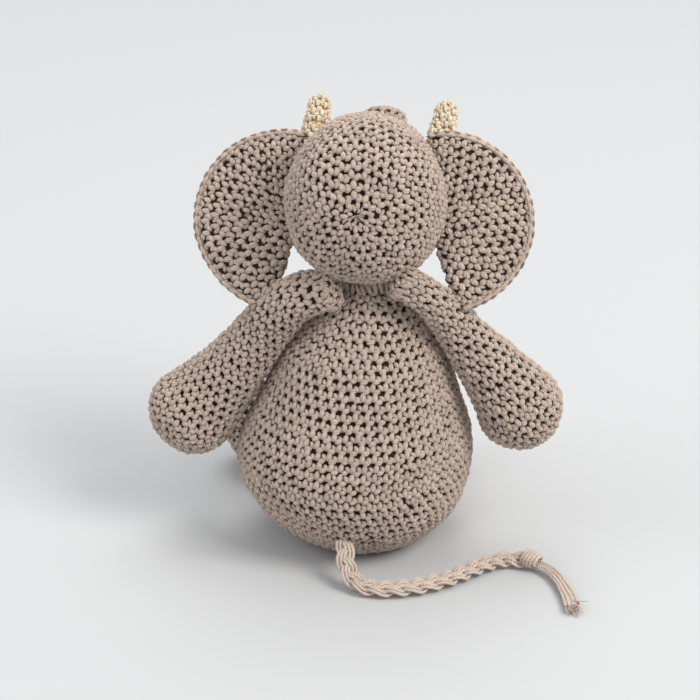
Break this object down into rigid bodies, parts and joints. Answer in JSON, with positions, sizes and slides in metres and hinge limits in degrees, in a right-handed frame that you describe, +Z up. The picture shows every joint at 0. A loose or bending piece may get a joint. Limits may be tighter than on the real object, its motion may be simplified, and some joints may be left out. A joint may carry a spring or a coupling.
{
  "type": "stuffed elephant",
  "caption": "Crocheted stuffed elephant that sits on a flat seat, with half-round ears, raised trunk, tusks, swinging arms, lifting legs and a braided tail.",
  "frame": {"origin": "centre of the flat seat face, on the surface it sits on", "axes": "+Z up, the elephant faces -Y, and its left side is +X"},
  "size_m": [0.2317, 0.1979, 0.236],
  "materials": {
    "yarn": "crocheted cotton",
    "sewing_yarn": "cotton yarn",
    "tail_yarn": "braided cotton yarn",
    "tusk_yarn": "crocheted cotton",
    "fibre": "loose polyester fibre",
    "eye": "polished",
    "washer": "moulded"
  },
  "bodies": {
    "torso": {"body_cover": "yarn", "body_stuffing": "fibre", "arm_root_left": "yarn", "arm_root_right": "yarn", "arm_seam_left": "sewing_yarn", "arm_seam_right": "sewing_yarn", "leg_seam_left": "sewing_yarn", "leg_seam_right": "sewing_yarn", "tail_braid": "tail_yarn", "tail_knot": "tail_yarn", "tail_fringe": "tail_yarn"},
    "neck": {"neck_stuffing": "fibre", "neck_seam": "sewing_yarn"},
    "head": {"head_cover": "yarn", "head_stuffing": "fibre", "eye_left": "eye", "eye_right": "eye", "eye_washer_left": "washer", "eye_washer_right": "washer", "tusk_left_cover": "tusk_yarn", "tusk_left_stuffing": "fibre", "tusk_right_cover": "tusk_yarn", "tusk_right_stuffing": "fibre"},
    "trunk": {"trunk_cover": "yarn", "trunk_stuffing": "fibre"},
    "ear_left": {"ear_left": "yarn", "ear_edging_left": "sewing_yarn", "ear_seam_left": "sewing_yarn"},
    "ear_right": {"ear_right": "yarn", "ear_edging_right": "sewing_yarn", "ear_seam_right": "sewing_yarn"},
    "arm_left": {"arm_left_cover": "yarn", "arm_left_stuffing": "fibre"},
    "arm_right": {"arm_right_cover": "yarn", "arm_right_stuffing": "fibre"},
    "leg_left": {"leg_left_cover": "yarn", "leg_left_stuffing": "fibre"},
    "leg_right": {"leg_right_cover": "yarn", "leg_right_stuffing": "fibre"}
  },
  "joints": [
    {"name": "head_turn", "type": "hinge", "parent": "torso", "child": "neck", "pos_m": [-0.00878, 0, 0.146], "axis": [0, 0, 1], "range_deg": [-10, 10], "stiffness_Nm_per_rad": 1},
    {"name": "head_nod", "type": "hinge", "parent": "neck", "child": "head", "pos_m": [-0.00878, 0, 0.146], "axis": [1, 0, 0], "range_deg": [-6, 6], "stiffness_Nm_per_rad": 2},
    {"name": "trunk_bend", "type": "hinge", "parent": "head", "child": "trunk", "pos_m": [-0.0065, -0.064, 0.182], "axis": [-1, 0, 0], "range_deg": [-12, 12], "stiffness_Nm_per_rad": 0.2},
    {"name": "ear_flap_left", "type": "hinge", "parent": "head", "child": "ear_left", "pos_m": [0.04217, 0.00116, 0.18155], "axis": [-0.1972, -0.3067, 0.9311], "range_deg": [-15, 18], "stiffness_Nm_per_rad": 0.06},
    {"name": "ear_flap_right", "type": "hinge", "parent": "head", "child": "ear_right", "pos_m": [-0.05257, 0.00116, 0.18155], "axis": [-0.1972, 0.3067, -0.9311], "range_deg": [-15, 18], "stiffness_Nm_per_rad": 0.06},
    {"name": "arm_swing_left", "type": "hinge", "parent": "torso", "child": "arm_left", "pos_m": [0.036, 0.008, 0.129], "axis": [-1, 0, 0], "range_deg": [-8, 70], "stiffness_Nm_per_rad": 0.25},
    {"name": "arm_swing_right", "type": "hinge", "parent": "torso", "child": "arm_right", "pos_m": [-0.046, 0.005, 0.134], "axis": [-1, 0, 0], "range_deg": [-8, 70], "stiffness_Nm_per_rad": 0.25},
    {"name": "leg_lift_left", "type": "hinge", "parent": "torso", "child": "leg_left", "pos_m": [0.02962, -0.06145, 0.024], "axis": [-0.5358, -0.8444, 0], "range_deg": [0, 28], "stiffness_Nm_per_rad": 0.15},
    {"name": "leg_lift_right", "type": "hinge", "parent": "torso", "child": "leg_right", "pos_m": [-0.03025, -0.06407, 0.024], "axis": [-0.9997, 0.0258, 0], "range_deg": [0, 28], "stiffness_Nm_per_rad": 0.15}
  ]
}
